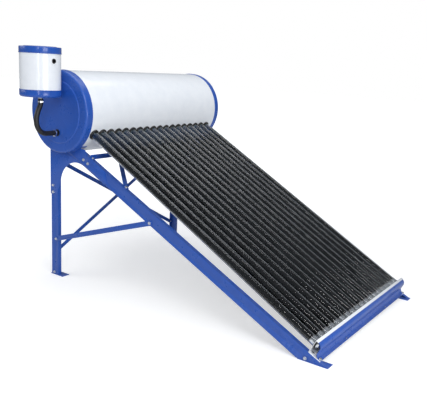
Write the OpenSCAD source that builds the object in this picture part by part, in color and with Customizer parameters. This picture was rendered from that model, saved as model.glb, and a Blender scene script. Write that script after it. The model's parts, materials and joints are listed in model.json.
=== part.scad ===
// Thermosiphon solar water heater: a round insulated tank with eighteen glass
// vacuum tubes, on a folded-sheet stand, with a small float-fed supply tank.
// Millimetres, +Z up. The origin is on the ground, in the middle of the four
// anchor holes; the glass tubes run down towards -Y.

/* [Tank] */
// Length of the tank over both end caps
tank_len = 1290; // [1180:10:1600]
// Outside diameter of the sheet casing
tank_d = 478; // [440:2:560]
// Height of the tank axis above the ground
axis_h = 1031; // [930:1:1240]
// Thickness of the foam between casing and inner tank
insulation_t = 50; // [40:1:60]
// Sheet thickness of the casing
casing_t = 0.8; // [0.6:0.1:1.5]
// Wall of the stainless inner tank
inner_wall = 1.5; // [1.2:0.1:3]
// How far an end cap reaches along the casing
cap_skirt = 48; // [35:1:58]
// Wall of an end cap
cap_t = 1.5; // [1:0.1:2.5]
// Diameter of the raised disc on an end cap
cap_disc_d = 368; // [300:2:410]

/* [Vacuum tubes] */
// Number of vacuum tubes
tube_count = 18; // [12:1:18]
// Outside diameter of a vacuum tube
tube_d = 47; // [44:0.5:50]
// Length of a vacuum tube from open end to tail
tube_len = 1800; // [1500:10:1850]
// Distance between neighbouring tubes
tube_pitch = 63.7; // [60:0.1:68]
// Distance from the left cap face to the first tube
first_tube = 85.5; // [82:0.5:100]
// Angle of the tubes above the ground
tube_slope = 28.8; // [24:0.1:35]
// How far a tube stands inside the inner tank
tube_insert = 12; // [8:1:25]
// Diameter of the absorber tube inside the outer glass
absorber_d = 37; // [34:0.5:39]
// Glass thickness
glass_t = 1.6; // [1.2:0.1:2.2]
// Outside diameter of a dust seal
dust_seal_d = 62; // [58:0.5:63]

/* [Stand] */
// Web height of the sloping rails
rail_w = 70; // [58:1:90]
// Width of the rear legs seen from the side
leg_w = 60; // [50:1:72]
// Flange width of rails and legs
flange_w = 24; // [20:1:32]
// Sheet thickness of the stand
sheet_t = 2.5; // [2:0.1:3.5]
// Front face of the rear legs, behind the tank axis
leg_front = 62; // [50:1:75]
// Height from the rail's top flange to the tube axis at the tube tails
tail_drop = 47; // [42:1:60]
// Rail height under the tank: top edge below the tank axis
rail_head_drop = 253; // [250:1:300]
// Width of the flat bars of the rear cross brace
bar_w = 25; // [20:1:32]
// Height of the side braces
side_bar_w = 30; // [24:1:36]
// Radius of the arch in the cradle plate
arch_r = 143; // [110:1:160]
// Thickness of a foot plate
foot_t = 3; // [3:0.5:6]
// Diameter of an anchor hole
anchor_d = 12; // [9:0.5:14]

/* [Tail rail] */
// Height of the tail rail above the rails
tail_h = 77; // [75:1:88]
// Depth of the tail rail's tray
tail_depth = 70; // [68:1:84]
// Outside diameter of the cup that holds a tube tail
tail_cup_d = 50; // [49:0.5:51]

/* [Supply tank] */
// Outside diameter of the supply tank's body
feeder_d = 225; // [201:1:236]
// Height of the supply tank over lid and base
feeder_h = 273; // [240:1:340]
// Wall of the supply tank
feeder_wall = 2.5; // [2:0.1:4]
// Height of the lid's rim
lid_h = 36; // [26:1:42]
// Height of the base cap
base_h = 41; // [30:1:55]
// Height of the underside of the supply tank above the tank axis
feeder_lift = 88; // [80:1:130]
// Gap between the supply tank's lid and the end cap
feeder_gap = 8; // [7:0.5:20]
// Outside diameter of the supply hose
hose_d = 30; // [24:1:34]

/* [Float valve] */
// Length of the float arm from pin to ball centre
arm_len = 88; // [70:1:95]
// Diameter of the float ball
float_d = 76; // [60:1:84]
// Angle of the hanging arm below level
arm_droop = 28; // [15:1:35]
// Diameter of the valve's plunger
plunger_d = 8; // [6:0.5:10]
// Height of the plunger axis above the arm's pin
cam_h = 8; // [7:0.5:10]

/* [Hidden] */
$fn = 96;
slack = 0.1;          // clearance between pieces that are fixed together
run = 0.05;           // radial clearance of a pin or plunger that moves
bolt_r = 4;           // M8 bolts in the stand
bolt_hole = bolt_r + 0.4;
head_r = 7.5;         // over the corners of an M8 head or nut
head_h = 5.3;
nut_h = 6.5;
washer_t = 1.5;
screw_r = 2.4;        // sheet screws

left_face = -tank_len / 2;
casing_r = tank_d / 2;
cap_r = casing_r + slack + cap_t;
cap_edge = 14;                                  // rounding of an end cap's corner
shell_end = cap_edge + 1;                       // casing's and foam's end from the cap face
inner_r = casing_r - casing_t - insulation_t;   // outside of the inner tank
foam_r = casing_r - casing_t;
inner_end = cap_skirt + 4;                      // inner tank's end from the cap face
tube_x = [for (i = [0 : tube_count - 1]) left_face + first_tube + i * tube_pitch];
tube_start = inner_r - inner_wall - tube_insert;   // open end, from the tank axis
tube_end = tube_start + tube_len;
inner_seal_d = tube_d + 10;

// The stand hangs on two lines: the rail's top edge passes the tank at head_y
// and lies tail_drop under the tubes at their tails.
head_y = -222;
tail_s = tube_end - 3;
head_z = axis_h - rail_head_drop;
tail_y = -tail_s * cos(tube_slope) + tail_drop * sin(tube_slope);
tail_z = axis_h - tail_s * sin(tube_slope) - tail_drop * cos(tube_slope);
rail_slope = atan2(head_z - tail_z, head_y - tail_y);
rail_v = rail_w / cos(rail_slope);              // web height measured upright
function rail_top(y) = tail_z + (y - tail_y) * tan(rail_slope);
function rail_bottom(y) = rail_top(y) - rail_v;
toe_y = tail_y - tail_z / tan(rail_slope);      // top edge meets the ground
heel_y = toe_y + rail_v / tan(rail_slope);      // bottom edge meets the ground
rail_end_y = -145;                              // upper end of the rail

plate_x = left_face + cap_skirt + 1;            // outer face of the cradle plate
web_x = plate_x + sheet_t;                      // outer face of rail and leg webs
leg_back = leg_front + leg_w;
saddle_t = 3;                                   // strip between cradle and casing
saddle_w = 44;
leg_top = axis_h - sqrt(pow(casing_r + saddle_t, 2) - pow(leg_front, 2)) - 9;

foot_x = web_x + 38;                            // anchor hole
rear_hole_y = leg_front + 30;
front_hole_y = (toe_y + heel_y) / 2;
tank_y = -(rear_hole_y + front_hole_y) / 2;

// Bolts through the webs, on the left side: [y, z]
rail_mid = rail_v * 0.52;
plate_bolts = [
    [-165, rail_top(-165) - rail_mid],
    [-201, rail_top(-201) - rail_mid],
    [leg_back - 20, 575],
    [leg_back - 20, 533]
];
brace_leg = [leg_front + 16, 238];
brace_rail = [-684, rail_bottom(-684) + 14];
brace_bolts = [brace_leg, brace_rail];
leg_foot_bolt = [leg_back - 26, foot_t + 14];
rail_foot_bolt = [heel_y - 42, foot_t + 12];
foot_bolts = [leg_foot_bolt, rail_foot_bolt];

// Bolts that stand on the rails' top flanges, by distance up the rail
rail_bolt_x = web_x + flange_w / 2 + 2;
tail_bolt_u = 8;
crossbar_u = (head_y - tail_y) / cos(rail_slope);
knee_u = (-488 - tail_y) / cos(rail_slope);
knee_reach = 215;                               // along the crossbar
knee_end_x = rail_bolt_x + knee_reach;
cross_w = 20;                                   // legs of the crossbar's angle
crossbar_back = crossbar_u + 12;                // its upright leg
knee_w = 28;
cross_z = [132, 742];                           // low and high bolts of the rear brace
cross_x = web_x + flange_w / 2 + 3;

// Supply tank
feeder_r = feeder_d / 2;
lid_r = feeder_r + 2.5;
lid_gap = 0.5;                                  // lid's rim round the body, all round
feeder_x = left_face - feeder_gap - lid_r;
feeder_z = axis_h + feeder_lift;
lid_z = feeder_z + feeder_h - lid_h;
base_edge = 14;                                 // rounding of the base cap
body_low = feeder_z + base_edge;
body_high = feeder_z + feeder_h - 4;
valve_z = feeder_z + feeder_h - 80;             // plunger axis
pin_y = feeder_r - feeder_wall - 34;            // from the supply tank's axis
pin_z = valve_z - cam_h;
pin_r = 2;
nose_r = 1.8;                                   // rounded nose of the arm's toe
cam_gap = nose_r + 0.3;                         // plunger's end from the pin, along the plunger
plunger_len = 24;
plunger_travel = cam_h * arm_droop * PI / 180;  // while the arm rises to level
seat_r = 3;                                     // waterway that the plunger closes
stem_r = 10.4;                                  // half-inch thread of the water inlet
outlet_r = 13;
overflow_r = 10.5;
overflow_bore = 8;
overflow_z = lid_z - 38;
outlet_reach = 38;
cap_rise = 4;                                   // raised disc of the end caps
bracket_t = 1.5;
bracket_w = 90;
bracket_h = 90;
bracket_screw_y = [-30, 30];
bracket_screw_z = [feeder_z + 12, feeder_z + 42];
tongue_w = 12;
tongue_t = 3;
base_wall = 2.5;
base_bore = lid_r - base_edge;                  // round the dished floor
inlet_drop = 121;                               // supply inlet below the tank axis
inlet_z = axis_h - inlet_drop;
hot_z = axis_h + 125;                           // hot outlet on the right cap
drain_z = axis_h - 150;
pipe_r = 9;
hot_r = 13.2;
// The hose, as [x from the left cap face, z above the tank axis]
drop_x = feeder_x - left_face;
hose_route = [
    [drop_x, feeder_lift - 10], [drop_x, feeder_lift - 24], [drop_x, feeder_lift - 36],
    [drop_x - 6, feeder_lift - 54], [drop_x - 21, 4], [drop_x - 31, -31], [drop_x - 30, -62], [drop_x - 19, -90],
    [drop_x + 1, -110], [drop_x + 28, -inlet_drop + 1], [-66, -inlet_drop],
    [-38, -inlet_drop], [-8, -inlet_drop]
];
hose_steps = 4;
hose_sides = 12;

white = "white";
navy = "royalblue";
steel = "silver";
rubber = [0.1, 0.1, 0.1];

function tube_names() =
    [for (i = [1 : tube_count]) str("tube_", i < 10 ? "0" : "", i)];

// ---------- placing ----------

// From tank coordinates (y from the tank axis, z from the ground)
module stand() translate([0, tank_y, 0]) children();
// z runs along the tank's axis, from the left cap face
module along_tank() translate([left_face, tank_y, axis_h]) rotate([90, 0, 90]) children();
// z runs down a tube from the tank axis
module down_tube(x) translate([x, tank_y, axis_h]) rotate([tube_slope + 90, 0, 0]) children();
module down_tubes() for (x = tube_x) down_tube(x) children();
// y runs up the rail from the tube tails, z stands square on its top flange
module on_rail() translate([0, tank_y + tail_y, tail_z]) rotate([rail_slope, 0, 0]) children();
module both_sides() {
    children();
    mirror([1, 0, 0]) children();
}
// A y-z outline given a thickness along x
module side_sheet(x, t) translate([x, 0, 0]) rotate([90, 0, 90]) linear_extrude(t) children();
module tube_ring(r, inner, z0, z1)
    translate([0, 0, z0]) difference() {
        cylinder(r = r, h = z1 - z0);
        translate([0, 0, -1]) cylinder(r = inner, h = z1 - z0 + 2);
    }
// Holes in x direction for bolts given as [y, z]
module web_holes(bolts)
    for (b = bolts) translate([web_x - 20, b[0], b[1]]) rotate([0, 90, 0])
        cylinder(r = bolt_hole, h = 60);

// ---------- tank ----------

module tube_bores(r, z0, z1) down_tubes() translate([0, 0, z0]) cylinder(r = r, h = z1 - z0);

saddle_x = [plate_x + saddle_w / 2, -plate_x - saddle_w / 2];
saddle_angles = [-22, 14];
module saddle_bores(r, z0, z1)
    for (x = saddle_x, a = saddle_angles)
        translate([x, tank_y, axis_h]) rotate([180 + a, 0, 0]) translate([0, 0, z0])
            cylinder(r = r, h = z1 - z0);

module casing() color(white) difference() {
    along_tank() tube_ring(casing_r, casing_r - casing_t, shell_end, tank_len - shell_end);
    tube_bores(tube_d / 2 + 3, casing_r - 30, casing_r + 10);
    saddle_bores(screw_r + slack, casing_r - 10, casing_r + 10);
}

// One end cap, closed face at z = 0
module cap_shell() rotate_extrude() {
    disc_r = cap_disc_d / 2;
    inside_r = casing_r + slack;
    bend = cap_r - cap_edge;                     // centre of the rounded corner
    ramp = 5;                                    // slope round the raised disc
    difference() {
        union() {
            square([bend, cap_edge]);
            translate([0, cap_edge]) square([cap_r, cap_skirt - cap_edge]);
            translate([bend, cap_edge]) circle(r = cap_edge);
            polygon([[0, -cap_rise], [disc_r - ramp, -cap_rise], [disc_r, 0], [0, 0]]);
        }
        translate([0, cap_t]) square([bend, cap_edge]);
        translate([0, cap_edge]) square([inside_r, cap_skirt]);
        translate([bend, cap_edge]) circle(r = cap_edge - cap_t);
        polygon([[0, cap_t - cap_rise], [disc_r - ramp - 0.6, cap_t - cap_rise],
                 [disc_r - 0.6, cap_t + 0.1], [0, cap_t + 0.1]]);
    }
}
module left_cap() color(navy) difference() {
    along_tank() cap_shell();
    translate([left_face - 10, tank_y, inlet_z]) rotate([0, 90, 0]) cylinder(r = hose_d / 2 + 2.2, h = 40);
    at_bracket_screws() translate([0, 0, -10]) cylinder(r = screw_r + slack, h = 30);
}
module right_cap() color(navy) difference() {
    mirror([1, 0, 0]) along_tank() cap_shell();
    for (z = [hot_z, drain_z])
        translate([-left_face - 30, tank_y, z]) rotate([0, 90, 0]) cylinder(r = hot_r + slack, h = 50);
}

module insulation() color("khaki") difference() {
    along_tank() difference() {
        translate([0, 0, shell_end]) cylinder(r = foam_r - slack, h = tank_len - 2 * shell_end);
        inner_shape(slack);
    }
    tube_bores(inner_seal_d / 2 + 1.5, inner_r - 60, casing_r + 10);
    saddle_bores(screw_r + 1, casing_r - 20, casing_r + 10);
    translate([left_face, tank_y, inlet_z]) rotate([0, 90, 0]) cylinder(r = pipe_r + slack, h = 90);
    for (z = [hot_z, drain_z])
        translate([-left_face - 90, tank_y, z]) rotate([0, 90, 0]) cylinder(r = hot_r + slack, h = 100);
}
// Closed shape of the inner tank, grown by g
module inner_shape(g) {
    dome = 22;
    translate([0, 0, inner_end + dome - g])
        cylinder(r = inner_r + g, h = tank_len - 2 * (inner_end + dome - g));
    for (s = [0, 1]) translate([0, 0, s * tank_len]) mirror([0, 0, s]) rotate_extrude()
        polygon([[0, inner_end - g], [inner_r - 30 + g / 2, inner_end - g],
                 [inner_r + g, inner_end + dome - g], [0, inner_end + dome - g]]);
}
module inner_tank() color(steel) difference() {
    along_tank() difference() {
        inner_shape(0);
        inner_shape(-inner_wall);
    }
    tube_bores(inner_seal_d / 2, inner_r - 60, inner_r + 20);
    translate([left_face, tank_y, inlet_z]) rotate([0, 90, 0]) cylinder(r = pipe_r + slack, h = 90);
    for (z = [hot_z, drain_z])
        translate([-left_face - 90, tank_y, z]) rotate([0, 90, 0]) cylinder(r = hot_r + slack, h = 100);
}
// Silicone ring in each inner-tank hole
module inner_seals() color("orangered") down_tubes() {
    tube_ring(inner_seal_d / 2 - slack, tube_d / 2 + slack, inner_r - 8, inner_r + 6);
    tube_ring(inner_seal_d / 2 + 1.2, tube_d / 2 + slack, inner_r + 4, inner_r + 8);
}
// Rubber collar round each tube, seated on the casing
module dust_seals() color(rubber) difference() {
    down_tubes() translate([0, 0, casing_r]) rotate_extrude() difference() {
        union() {
            translate([0, -3]) square([dust_seal_d / 2, 9]);
            polygon([[0, 6], [dust_seal_d / 2 - 1.5, 6], [tube_d / 2 + 4, 10], [0, 10]]);
        }
        translate([0, -4]) square([tube_d / 2 + slack, 30]);
    }
    along_tank() cylinder(r = casing_r + slack, h = tank_len);
}

// ---------- vacuum tubes ----------

// Glass tube with a round tail, open at the top
module glass(r, z0, z1) difference() {
    union() {
        translate([0, 0, z0]) cylinder(r = r, h = z1 - r - z0);
        translate([0, 0, z1 - r]) sphere(r = r);
    }
    translate([0, 0, z0 - 1]) cylinder(r = r - glass_t, h = z1 - r - z0 + 1);
    translate([0, 0, z1 - r]) sphere(r = r - glass_t);
}
module outer_tube(x) color([0.2, 0.22, 0.25]) down_tube(x) {
    glass(tube_d / 2, tube_start, tube_end);
    translate([0, 0, tube_end - 0.4]) cylinder(r1 = 5, r2 = 2, h = 6);
}
module absorber_tubes() color([0.1, 0.1, 0.12]) down_tubes() {
    glass(absorber_d / 2, tube_start + 1, tube_end - 22);
    tube_ring(tube_d / 2 - glass_t - slack, absorber_d / 2 - glass_t, tube_start, tube_start + 1);
}
// Spring clip that centres the absorber's tail and carries the getter
module spacer_clips() color(steel) down_tubes() {
    gap_out = tube_d / 2 - glass_t - slack;
    gap_in = absorber_d / 2 + slack;
    tube_ring(gap_in + 1, gap_in, tube_end - 60, tube_end - 44);
    for (a = [0 : 120 : 240]) rotate([0, 0, a])
        translate([gap_in + 0.6, -4, tube_end - 56]) cube([gap_out - gap_in - 1.1, 8, 8]);
}

// ---------- tail rail ----------

cup_start = tube_end - 30;                       // where a cup's collar meets the tray
cup_len = 11;
module tail_cups() color(rubber) down_tubes() {
    tube_ring(tail_cup_d / 2 - slack, tube_d / 2 + slack, cup_start - 1, cup_start + cup_len);
    tube_ring(tail_cup_d / 2 + 2.5, tube_d / 2 + slack, cup_start - 2.8, cup_start - 0.8);
}
// Tray across both rails: back wall with a hole for each cup, and a top lip
tray_back = 24;                                  // back wall above the tail point
tray_t = 2;
lip = 15;
module tail_tray() color("ivory") difference() {
    on_rail() difference() {
        side_sheet(web_x, -2 * web_x) {
            translate([tray_back - tail_depth, 0]) square([tail_depth, tray_t]);
            translate([tray_back - tray_t, 0]) square([tray_t, tail_h]);
            translate([tray_back - lip, tail_h - tray_t]) square([lip, tray_t]);
        }
        tail_fixing_bores();
    }
    down_tubes() translate([0, 0, cup_start - 12]) cylinder(r = tail_cup_d / 2, h = 24);
}
// Cover over the tails: rolled top under the tray's lip, upright front, flared
// foot and a flange on the tray
cover_x = web_x + 6;
roll_r = 28;
roll_u = tray_back - lip + 5;                    // centre of the rolled top
roll_b = tail_h - tray_t - roll_r;
front_u = roll_u - roll_r;
flange_u = tray_back - tail_depth;
module tail_cover() color(navy) on_rail() difference() {
    side_sheet(cover_x, -2 * cover_x) {
        intersection() {
            difference() {
                translate([roll_u, roll_b]) circle(r = roll_r);
                translate([roll_u, roll_b]) circle(r = roll_r - tray_t);
            }
            translate([front_u, roll_b]) square([roll_r, roll_r]);
        }
        translate([front_u, 16]) square([tray_t, roll_b - 16 + 0.1]);
        polygon([[front_u - 16, tray_t], [front_u - 13, tray_t], [front_u + tray_t, 17], [front_u, 18]]);
        translate([flange_u, tray_t]) square([front_u - 13 - flange_u, tray_t]);
    }
    tail_fixing_bores();
}
cover_bolt_u = flange_u + 8;
cover_screw_x = [left_face * 0.43, -left_face * 0.43];
module tail_fixing_bores() {
    both_sides() for (u = [tail_bolt_u, cover_bolt_u]) flange_bore(rail_bolt_x, u);
    for (x = cover_screw_x) translate([x, cover_bolt_u, -10]) cylinder(r = screw_r + slack, h = 24);
}

// ---------- stand ----------

// Channel, web outwards: x from web_x, flanges inwards; y up the rail
module channel(w, len) difference() {
    translate([web_x, 0, 0]) cube([flange_w, w, len]);
    translate([web_x + sheet_t, sheet_t, -1]) cube([flange_w, w - 2 * sheet_t, len + 2]);
}
module ground_cut() translate([-2000, -4000, -500]) cube([4000, 8000, 500]);

rail_back = 400;                                 // spare length past the ground cut
rail_len = (rail_end_y - tail_y) / cos(rail_slope);
module rail() difference() {
    on_rail() translate([0, -rail_back, -rail_w]) rotate([-90, 0, 0]) mirror([0, 1, 0])
        channel(rail_w, rail_back + rail_len);
    translate([0, 0, foot_t]) ground_cut();
    stand() web_holes(concat(plate_bolts, brace_bolts, foot_bolts));
    on_rail() for (u = [tail_bolt_u, cover_bolt_u, knee_u, crossbar_u])
        flange_bore(rail_bolt_x, u);
}
module left_rail() color(navy) rail();
module right_rail() color(navy) mirror([1, 0, 0]) rail();

module leg() difference() {
    groove_w = 3;                                // pressed groove that stiffens the web
    groove_end = 60;
    stand() translate([0, leg_front, foot_t]) channel(leg_w, leg_top - foot_t);
    stand() translate([web_x - 1, leg_front + (leg_w - groove_w) / 2, groove_end])
        cube([1.8, groove_w, leg_top - 2 * groove_end]);
    stand() web_holes(concat(plate_bolts, brace_bolts, foot_bolts));
    cross_bores(bolt_hole);
}
module rear_legs() color(navy) both_sides() leg();

// Cradle: side plate with an arch, and a curved saddle strip under the casing
module cradle_outline() {
    arm_end = -335;                              // lower end of the plate's arm along the rail
    corner_y = leg_front - 26;
    line_z = rail_bottom(corner_y);
    arch_reach = arch_r / tan((90 - rail_slope) / 2);
    arch_y = corner_y - arch_reach * cos(rail_slope);
    arch_z = line_z - arch_reach;
    plate_low = 520;
    shelf = axis_h - 180;                        // level edge under the casing
    difference() {
        polygon([
            [leg_back + 5, plate_low], [leg_back + 5, shelf], [-140, shelf], [-140, shelf - 25],
            [-172, shelf - 25], [-200, rail_top(-200)], [arm_end, rail_top(arm_end)],
            [arm_end - 20, rail_bottom(arm_end - 20) + 20], [arm_end, rail_bottom(arm_end)],
            [corner_y, line_z], [corner_y, arch_z], [leg_front, arch_z - 50], [leg_front, plate_low]
        ]);
        translate([0, axis_h]) circle(r = casing_r + slack);
    }
    // web of sheet left above the arch
    difference() {
        polygon([[corner_y, line_z], [corner_y, arch_z], [arch_y, rail_bottom(arch_y)]]);
        translate([corner_y - arch_r, arch_z]) circle(r = arch_r);
        translate([0, axis_h]) circle(r = casing_r + slack);
    }
}
module cradle() difference() {
    stand() union() {
        side_sheet(plate_x, sheet_t) cradle_outline();
        translate([plate_x, 0, axis_h]) rotate([90, 0, 90]) intersection() {
            tube_ring(casing_r + saddle_t, casing_r + slack, 0, saddle_w);
            translate([0, 0, -1]) linear_extrude(50)
                polygon([[0, 0], [-200, -262], [-100, -400], [100, -400], [152, -262]]);
        }
    }
    stand() web_holes(plate_bolts);
    saddle_bores(screw_r + slack, casing_r - 10, casing_r + 10);
}
module left_cradle() color(navy) cradle();
module right_cradle() color(navy) mirror([1, 0, 0]) cradle();

// Angle foot: plate on the ground, ear bolted inside the web
module foot(y0, y1, hole_y, bolt) difference() {
    stand() union() {
        translate([web_x - 2, y0, 0]) cube([56, y1 - y0, foot_t]);
        translate([web_x + sheet_t + slack, bolt[0] - 16, foot_t - 0.5]) cube([sheet_t, 32, bolt[1] + 6]);
    }
    stand() translate([foot_x, hole_y, -1]) cylinder(r = anchor_d / 2, h = foot_t + 2);
    stand() web_holes([bolt]);
}
module feet() color(navy) both_sides() {
    foot(leg_front - 40, leg_back + 8, rear_hole_y, leg_foot_bolt);
    foot(toe_y - 4, heel_y, front_hole_y, rail_foot_bolt);
}

// Side brace: flat bar with round ends and a pressed rib
module side_brace() difference() {
    dy = brace_rail[0] - brace_leg[0];
    dz = brace_rail[1] - brace_leg[1];
    len = sqrt(dy * dy + dz * dz);
    stand() translate([plate_x, brace_leg[0], brace_leg[1]]) rotate([atan2(dz, dy), 0, 0]) union() {
        translate([0, 0, -side_bar_w / 2]) cube([sheet_t, len, side_bar_w]);
        for (y = [0, len]) translate([0, y, 0]) rotate([0, 90, 0]) cylinder(r = side_bar_w / 2, h = sheet_t);
        translate([-1.5, 40, -4]) cube([2, len - 80, 8]);
    }
    stand() web_holes(brace_bolts);
}
module side_braces() color(navy) both_sides() side_brace();

// Rear cross brace: two flat bars, one on each face of the legs' rear flanges
module cross_bar(y0) difference() {
    rise = cross_z[1] - cross_z[0];
    span = -2 * cross_x;
    len = sqrt(span * span + rise * rise);
    stand() translate([cross_x, y0, cross_z[0]]) rotate([0, -atan2(rise, span), 0]) union() {
        translate([0, 0, -bar_w / 2]) cube([len, sheet_t, bar_w]);
        for (x = [0, len]) translate([x, 0, 0]) rotate([-90, 0, 0]) cylinder(r = bar_w / 2 - 1, h = sheet_t);
    }
    cross_bores(bolt_hole);
}
module cross_bores(r) for (x = [cross_x, -cross_x], z = cross_z)
    stand() translate([x, leg_back - 12, z]) rotate([-90, 0, 0]) cylinder(r = r, h = 24);
module cross_braces() color(navy) {
    cross_bar(leg_back - 2 * sheet_t);
    mirror([1, 0, 0]) cross_bar(leg_back);
}

// Angle bar across the rails, close in front of the tank
module crossbar() color(navy) on_rail() difference() {
    translate([web_x, crossbar_back - cross_w, 0]) difference() {
        cube([-2 * web_x, cross_w, cross_w]);
        translate([-1, -1, sheet_t]) cube([-2 * web_x + 2, cross_w - sheet_t + 1, cross_w]);
    }
    both_sides() for (x = [rail_bolt_x, knee_end_x]) flange_bore(x, crossbar_u);
}
// Corner braces on top of the rails' flanges and of the crossbar, with a
// packing washer that levels the lower end
module knee_braces() color(navy) on_rail() both_sides() {
    run_u = crossbar_u - knee_u;
    len = sqrt(knee_reach * knee_reach + run_u * run_u);
    difference() {
        translate([rail_bolt_x, knee_u, sheet_t]) rotate([0, 0, atan2(run_u, knee_reach)])
            translate([-12, -knee_w / 2, 0]) cube([len + 20, knee_w, sheet_t]);
        flange_bore(rail_bolt_x, knee_u);
        flange_bore(knee_end_x, crossbar_u);
        translate([web_x, crossbar_back - sheet_t - slack, 0]) cube([-web_x, 40, 20]);
    }
    translate([rail_bolt_x, knee_u, 0]) tube_ring(9, bolt_hole, 0, sheet_t);
}
module flange_bore(x, u) translate([x, u, -10]) cylinder(r = bolt_hole, h = 24);

// ---------- fasteners ----------

// Head below z = 0, shank up through a stack that spans z = 0 .. grip
module bolt(grip) {
    translate([0, 0, -washer_t]) union() {
        translate([0, 0, -head_h]) cylinder(r = head_r, h = head_h, $fn = 6);
        cylinder(r = 8.5, h = washer_t);
        cylinder(r = bolt_r, h = washer_t + grip + nut_h + 3);
    }
}
module nut(grip) translate([0, 0, grip]) difference() {
    cylinder(r = head_r, h = nut_h, $fn = 6);
    translate([0, 0, -1]) cylinder(r = bolt_r + run, h = nut_h + 2);
}
module screw() {
    translate([0, 0, -3]) cylinder(r = 4.6, h = 3, $fn = 6);
    cylinder(r = screw_r, h = 14);
}
// Where the bolts go, all with z pointing from head to nut
module at_web_bolts(bolts) for (b = bolts)
    stand() translate([plate_x, b[0], b[1]]) rotate([0, 90, 0]) children();
module at_foot_bolts() for (b = [leg_foot_bolt, rail_foot_bolt])
    stand() translate([web_x, b[0], b[1]]) rotate([0, 90, 0]) children();
// One brace lies in front of the legs' rear flanges, the other behind them
module at_cross_bolts() for (end = [0, 1], back = [0, 1])
    stand() translate([cross_x * (end == back ? 1 : -1), leg_back + back * sheet_t, cross_z[end]])
        rotate([90, 0, 0]) children();
module at_flange(x, u, z) on_rail() translate([x, u, z]) rotate([180, 0, 0]) children();

module fixings(is_bolt) {
    at_cross_bolts() fixing(is_bolt, 2 * sheet_t);
    both_sides() side_fixings(is_bolt);
}
module side_fixings(is_bolt) {
    at_web_bolts(concat(plate_bolts, brace_bolts)) fixing(is_bolt, 2 * sheet_t);
    at_foot_bolts() fixing(is_bolt, 2 * sheet_t + slack);
    at_flange(rail_bolt_x, tail_bolt_u, tray_t) fixing(is_bolt, sheet_t + tray_t);
    at_flange(rail_bolt_x, cover_bolt_u, 2 * tray_t) fixing(is_bolt, sheet_t + 2 * tray_t);
    at_flange(rail_bolt_x, knee_u, 2 * sheet_t) fixing(is_bolt, 3 * sheet_t);
    at_flange(rail_bolt_x, crossbar_u, sheet_t) fixing(is_bolt, 2 * sheet_t);
    at_flange(knee_end_x, crossbar_u, 2 * sheet_t) fixing(is_bolt, 2 * sheet_t);
}
module fixing(is_bolt, grip) {
    if (is_bolt) bolt(grip);
    else nut(grip);
}
module frame_bolts() color(steel) fixings(true);
module frame_nuts() color(steel) fixings(false);
// Sheet screws: saddle strips to casing, cover to tray
module sheet_screws() color(steel) {
    for (x = saddle_x, a = saddle_angles)
        translate([x, tank_y, axis_h]) rotate([a, 0, 0])
            translate([0, 0, -casing_r - saddle_t]) screw();
    at_bracket_screws() screw();
    for (x = cover_screw_x)
        on_rail() translate([x, cover_bolt_u, 2 * tray_t]) rotate([180, 0, 0]) screw();
}
module at_bracket_screws() for (y = bracket_screw_y, z = bracket_screw_z)
    translate([left_face - cap_rise - bracket_t, tank_y + y, z]) rotate([0, 90, 0]) children();

// ---------- supply tank ----------

module at_feeder() translate([feeder_x, tank_y, 0]) children();

module feeder_body() color("whitesmoke") at_feeder() difference() {
    tube_ring(feeder_r, feeder_r - feeder_wall, body_low, body_high);
    translate([0, -feeder_r + 20, overflow_z]) rotate([90, 0, 0]) cylinder(r = overflow_r, h = 40);
    translate([0, feeder_r - 30, valve_z]) rotate([-90, 0, 0]) cylinder(r = stem_r + slack, h = 60);
}
// Dished floor whose flange lies inside the body, on the base ring's ledge
module feeder_floor() color(navy) at_feeder() translate([0, 0, feeder_z]) rotate_extrude() difference() {
    dish_r = base_bore - slack;
    flange_r = feeder_r - feeder_wall - slack;
    union() {
        square([dish_r, base_wall]);
        translate([dish_r - base_wall, 0]) square([base_wall, base_edge + base_wall]);
        translate([dish_r - base_wall, base_edge]) square([flange_r - dish_r + base_wall, base_wall]);
    }
    translate([0, -1]) square([outlet_r, base_edge]);
}
// Lid: turned rim over the body, with a slightly raised top
module feeder_lid() color(navy) at_feeder() translate([0, 0, lid_z]) rotate_extrude() difference() {
    union() {
        square([lid_r, lid_h - 4]);
        square([lid_r - 4, lid_h]);
        translate([lid_r - 4, lid_h - 4]) circle(r = 4);
        polygon([[0, lid_h], [lid_r - 20, lid_h], [lid_r - 28, lid_h + 3], [0, lid_h + 3]]);
    }
    translate([0, -1]) square([feeder_r + lid_gap, body_high - lid_z + 1 + slack]);
}
// Base: rounded ring with a ledge for the body and the floor
module feeder_base() color(navy) at_feeder() translate([0, 0, feeder_z]) rotate_extrude() difference() {
    union() {
        translate([0, base_edge]) square([lid_r, base_h - base_edge]);
        square([base_bore, base_edge]);
        translate([base_bore, base_edge]) circle(r = base_edge);
    }
    translate([0, base_edge]) square([feeder_r + slack, base_h]);
    translate([0, -1]) square([base_bore, base_h]);
}
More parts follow.
